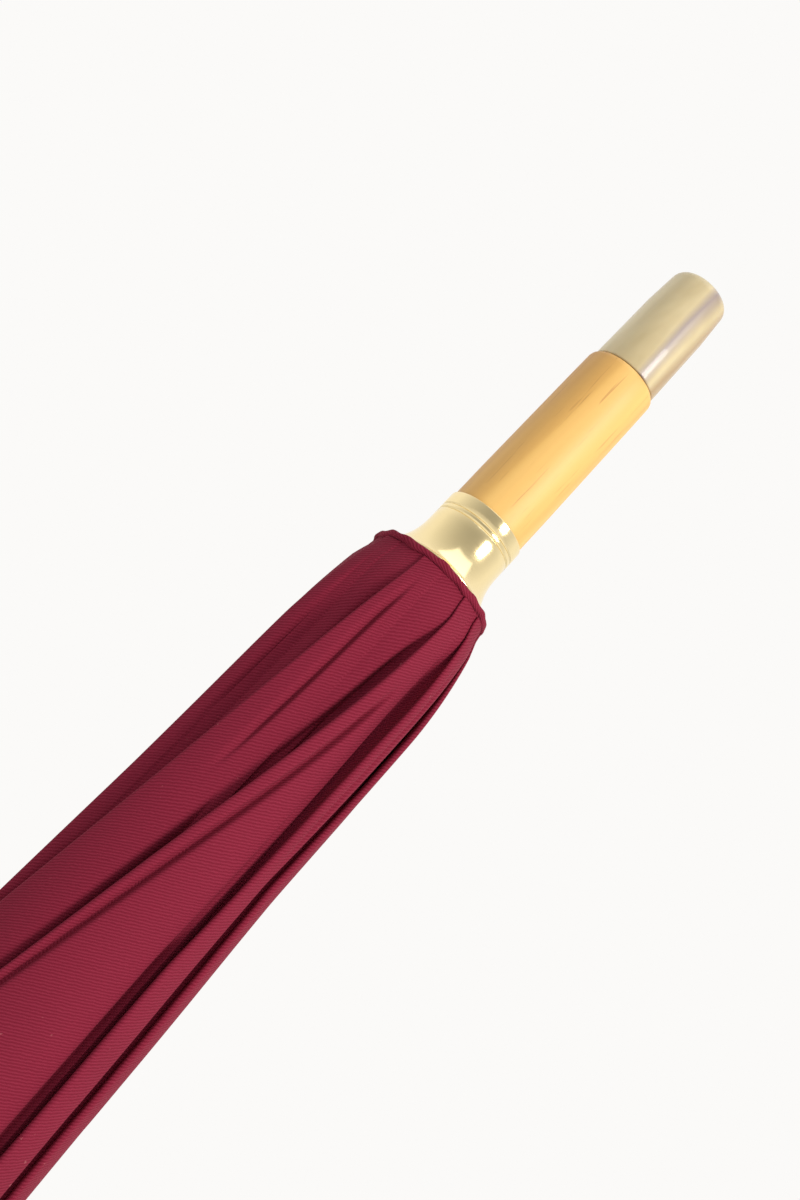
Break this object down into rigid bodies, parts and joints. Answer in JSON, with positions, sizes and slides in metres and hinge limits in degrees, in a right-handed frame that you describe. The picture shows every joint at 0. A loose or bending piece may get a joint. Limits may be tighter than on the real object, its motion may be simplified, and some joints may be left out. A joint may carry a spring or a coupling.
{
  "type": "stick umbrella",
  "caption": "Furled stick umbrella: solid wooden stick with crook handle, horn ferrule and brass cap; hinged ribs and stretchers on a sliding runner open the pleated cloth canopy.",
  "frame": {"origin": "on the stick's axis at the top of the handle, where the hand holds it", "axes": "+Z along the stick towards the ferrule; +X from the stick towards the crook's nose; the umbrella is closed at rest"},
  "size_m": [0.1276, 0.0542, 0.8938],
  "materials": {
    "wood": "clear-lacquered honey wood with a fine straight grain, satin to gloss",
    "horn": "polished horn, beige with grey-purple and brown streaks along it",
    "brass": "polished pale brass, lacquered",
    "steel": "drawn steel wire and strip",
    "dark_steel": "black-lacquered steel channel, satin",
    "canopy_cloth": "burgundy twill weave, matt with a faint sheen"
  },
  "bodies": {
    "frame": {"stick": "wood", "horn_ferrule": "horn", "top_cap": "brass", "rosette": "canopy_cloth", "notch": "brass", "notch_wire": "steel", "stop_pin": "steel", "handle_collar": "brass", "crook_handle": "wood"},
    "rib_1": {"rib_1": "dark_steel", "rib_tip_1": "brass", "rib_rivet_1": "steel", "tie_strap": "canopy_cloth", "strap_button": "brass"},
    "rib_2": {"rib_2": "dark_steel", "rib_tip_2": "brass", "rib_rivet_2": "steel"},
    "rib_3": {"rib_3": "dark_steel", "rib_tip_3": "brass", "rib_rivet_3": "steel"},
    "rib_4": {"rib_4": "dark_steel", "rib_tip_4": "brass", "rib_rivet_4": "steel"},
    "rib_5": {"rib_5": "dark_steel", "rib_tip_5": "brass", "rib_rivet_5": "steel"},
    "rib_6": {"rib_6": "dark_steel", "rib_tip_6": "brass", "rib_rivet_6": "steel"},
    "rib_7": {"rib_7": "dark_steel", "rib_tip_7": "brass", "rib_rivet_7": "steel"},
    "rib_8": {"rib_8": "dark_steel", "rib_tip_8": "brass", "rib_rivet_8": "steel"},
    "stretcher_1": {"stretcher_1": "dark_steel"},
    "stretcher_2": {"stretcher_2": "dark_steel"},
    "stretcher_3": {"stretcher_3": "dark_steel"},
    "stretcher_4": {"stretcher_4": "dark_steel"},
    "stretcher_5": {"stretcher_5": "dark_steel"},
    "stretcher_6": {"stretcher_6": "dark_steel"},
    "stretcher_7": {"stretcher_7": "dark_steel"},
    "stretcher_8": {"stretcher_8": "dark_steel"},
    "runner": {"runner": "brass", "runner_wire": "steel"},
    "gore_1": {"gore_1": "canopy_cloth"},
    "gore_2": {"gore_2": "canopy_cloth"},
    "gore_3": {"gore_3": "canopy_cloth"},
    "gore_4": {"gore_4": "canopy_cloth"},
    "gore_5": {"gore_5": "canopy_cloth"},
    "gore_6": {"gore_6": "canopy_cloth"},
    "gore_7": {"gore_7": "canopy_cloth"},
    "gore_8": {"gore_8": "canopy_cloth"},
    "top_catch": {"top_catch": "steel"},
    "bottom_catch": {"bottom_catch": "steel"}
  },
  "joints": [
    {"name": "canopy_opening", "type": "hinge", "parent": "frame", "child": "rib_1", "pos_m": [0.0112, 0, 0.692], "axis": [0, -1, 0], "range_deg": [0, 66], "deforming": ["gore_1", "gore_2", "gore_3", "gore_4", "gore_5", "gore_6", "gore_7", "gore_8", "top_catch", "bottom_catch"]},
    {"name": "rib_2_hinge", "type": "hinge", "parent": "frame", "child": "rib_2", "pos_m": [0.00792, 0.00792, 0.692], "axis": [0.7071, -0.7071, 0], "range_deg": [0, 66]},
    {"name": "rib_3_hinge", "type": "hinge", "parent": "frame", "child": "rib_3", "pos_m": [0, 0.0112, 0.692], "axis": [1, 0, 0], "range_deg": [0, 66]},
    {"name": "rib_4_hinge", "type": "hinge", "parent": "frame", "child": "rib_4", "pos_m": [-0.00792, 0.00792, 0.692], "axis": [0.7071, 0.7071, 0], "range_deg": [0, 66]},
    {"name": "rib_5_hinge", "type": "hinge", "parent": "frame", "child": "rib_5", "pos_m": [-0.0112, 0, 0.692], "axis": [0, 1, 0], "range_deg": [0, 66]},
    {"name": "rib_6_hinge", "type": "hinge", "parent": "frame", "child": "rib_6", "pos_m": [-0.00792, -0.00792, 0.692], "axis": [-0.7071, 0.7071, 0], "range_deg": [0, 66]},
    {"name": "rib_7_hinge", "type": "hinge", "parent": "frame", "child": "rib_7", "pos_m": [0, -0.0112, 0.692], "axis": [-1, 0, 0], "range_deg": [0, 66]},
    {"name": "rib_8_hinge", "type": "hinge", "parent": "frame", "child": "rib_8", "pos_m": [0.00792, -0.00792, 0.692], "axis": [-0.7071, -0.7071, 0], "range_deg": [0, 66]},
    {"name": "stretcher_1_hinge", "type": "hinge", "parent": "rib_1", "child": "stretcher_1", "pos_m": [0.01913, 0, 0.412], "axis": [0, -1, 0], "range_deg": [-132, 0]},
    {"name": "stretcher_2_hinge", "type": "hinge", "parent": "rib_2", "child": "stretcher_2", "pos_m": [0.01353, 0.01353, 0.412], "axis": [0.7071, -0.7071, 0], "range_deg": [-132, 0]},
    {"name": "stretcher_3_hinge", "type": "hinge", "parent": "rib_3", "child": "stretcher_3", "pos_m": [0, 0.01913, 0.412], "axis": [1, 0, 0], "range_deg": [-132, 0]},
    {"name": "stretcher_4_hinge", "type": "hinge", "parent": "rib_4", "child": "stretcher_4", "pos_m": [-0.01353, 0.01353, 0.412], "axis": [0.7071, 0.7071, 0], "range_deg": [-132, 0]},
    {"name": "stretcher_5_hinge", "type": "hinge", "parent": "rib_5", "child": "stretcher_5", "pos_m": [-0.01913, 0, 0.412], "axis": [0, 1, 0], "range_deg": [-132, 0]},
    {"name": "stretcher_6_hinge", "type": "hinge", "parent": "rib_6", "child": "stretcher_6", "pos_m": [-0.01353, -0.01353, 0.412], "axis": [-0.7071, 0.7071, 0], "range_deg": [-132, 0]},
    {"name": "stretcher_7_hinge", "type": "hinge", "parent": "rib_7", "child": "stretcher_7", "pos_m": [0, -0.01913, 0.412], "axis": [-1, 0, 0], "range_deg": [-132, 0]},
    {"name": "stretcher_8_hinge", "type": "hinge", "parent": "rib_8", "child": "stretcher_8", "pos_m": [0.01353, -0.01353, 0.412], "axis": [-0.7071, -0.7071, 0], "range_deg": [-132, 0]},
    {"name": "runner_on_stretcher", "type": "hinge", "parent": "stretcher_1", "child": "runner", "pos_m": [0.0112, 0, 0.132], "axis": [0, -1, 0], "range_deg": [0, 66]},
    {"name": "gore_1_spread", "type": "hinge", "parent": "rib_1", "child": "gore_1", "pos_m": [0.0112, 0.00464, 0.692], "axis": [0.7922, 0.3282, -0.5145], "range_deg": [0, 48.12]},
    {"name": "gore_2_spread", "type": "hinge", "parent": "rib_2", "child": "gore_2", "pos_m": [0.00464, 0.0112, 0.692], "axis": [0.3282, 0.7922, -0.5145], "range_deg": [0, 48.12]},
    {"name": "gore_3_spread", "type": "hinge", "parent": "rib_3", "child": "gore_3", "pos_m": [-0.00464, 0.0112, 0.692], "axis": [-0.3282, 0.7922, -0.5145], "range_deg": [0, 48.12]},
    {"name": "gore_4_spread", "type": "hinge", "parent": "rib_4", "child": "gore_4", "pos_m": [-0.0112, 0.00464, 0.692], "axis": [-0.7922, 0.3282, -0.5145], "range_deg": [0, 48.12]},
    {"name": "gore_5_spread", "type": "hinge", "parent": "rib_5", "child": "gore_5", "pos_m": [-0.0112, -0.00464, 0.692], "axis": [-0.7922, -0.3282, -0.5145], "range_deg": [0, 48.12]},
    {"name": "gore_6_spread", "type": "hinge", "parent": "rib_6", "child": "gore_6", "pos_m": [-0.00464, -0.0112, 0.692], "axis": [-0.3282, -0.7922, -0.5145], "range_deg": [0, 48.12]},
    {"name": "gore_7_spread", "type": "hinge", "parent": "rib_7", "child": "gore_7", "pos_m": [0.00464, -0.0112, 0.692], "axis": [0.3282, -0.7922, -0.5145], "range_deg": [0, 48.12]},
    {"name": "gore_8_spread", "type": "hinge", "parent": "rib_8", "child": "gore_8", "pos_m": [0.0112, -0.00464, 0.692], "axis": [0.7922, -0.3282, -0.5145], "range_deg": [0, 48.12]},
    {"name": "top_catch_press", "type": "hinge", "parent": "frame", "child": "top_catch", "pos_m": [0.0063, 0, 0.38032], "axis": [0, -1, 0], "range_deg": [0, 6], "stiffness_Nm_per_rad": 0.2},
    {"name": "bottom_catch_press", "type": "hinge", "parent": "frame", "child": "bottom_catch", "pos_m": [0.0063, 0, 0.126], "axis": [0, 1, 0], "range_deg": [0, 6], "stiffness_Nm_per_rad": 0.2}
  ],
  "couplings": [
    {"joint": "rib_2_hinge", "follows": "canopy_opening", "ratio": 1},
    {"joint": "rib_3_hinge", "follows": "canopy_opening", "ratio": 1},
    {"joint": "rib_4_hinge", "follows": "canopy_opening", "ratio": 1},
    {"joint": "rib_5_hinge", "follows": "canopy_opening", "ratio": 1},
    {"joint": "rib_6_hinge", "follows": "canopy_opening", "ratio": 1},
    {"joint": "rib_7_hinge", "follows": "canopy_opening", "ratio": 1},
    {"joint": "rib_8_hinge", "follows": "canopy_opening", "ratio": 1},
    {"joint": "stretcher_1_hinge", "follows": "canopy_opening", "ratio": -2},
    {"joint": "stretcher_2_hinge", "follows": "canopy_opening", "ratio": -2},
    {"joint": "stretcher_3_hinge", "follows": "canopy_opening", "ratio": -2},
    {"joint": "stretcher_4_hinge", "follows": "canopy_opening", "ratio": -2},
    {"joint": "stretcher_5_hinge", "follows": "canopy_opening", "ratio": -2},
    {"joint": "stretcher_6_hinge", "follows": "canopy_opening", "ratio": -2},
    {"joint": "stretcher_7_hinge", "follows": "canopy_opening", "ratio": -2},
    {"joint": "stretcher_8_hinge", "follows": "canopy_opening", "ratio": -2},
    {"joint": "runner_on_stretcher", "follows": "canopy_opening", "ratio": 1},
    {"joint": "gore_1_spread", "follows": "canopy_opening", "ratio": 0.72909},
    {"joint": "gore_2_spread", "follows": "canopy_opening", "ratio": 0.72909},
    {"joint": "gore_3_spread", "follows": "canopy_opening", "ratio": 0.72909},
    {"joint": "gore_4_spread", "follows": "canopy_opening", "ratio": 0.72909},
    {"joint": "gore_5_spread", "follows": "canopy_opening", "ratio": 0.72909},
    {"joint": "gore_6_spread", "follows": "canopy_opening", "ratio": 0.72909},
    {"joint": "gore_7_spread", "follows": "canopy_opening", "ratio": 0.72909},
    {"joint": "gore_8_spread", "follows": "canopy_opening", "ratio": 0.72909}
  ]
}
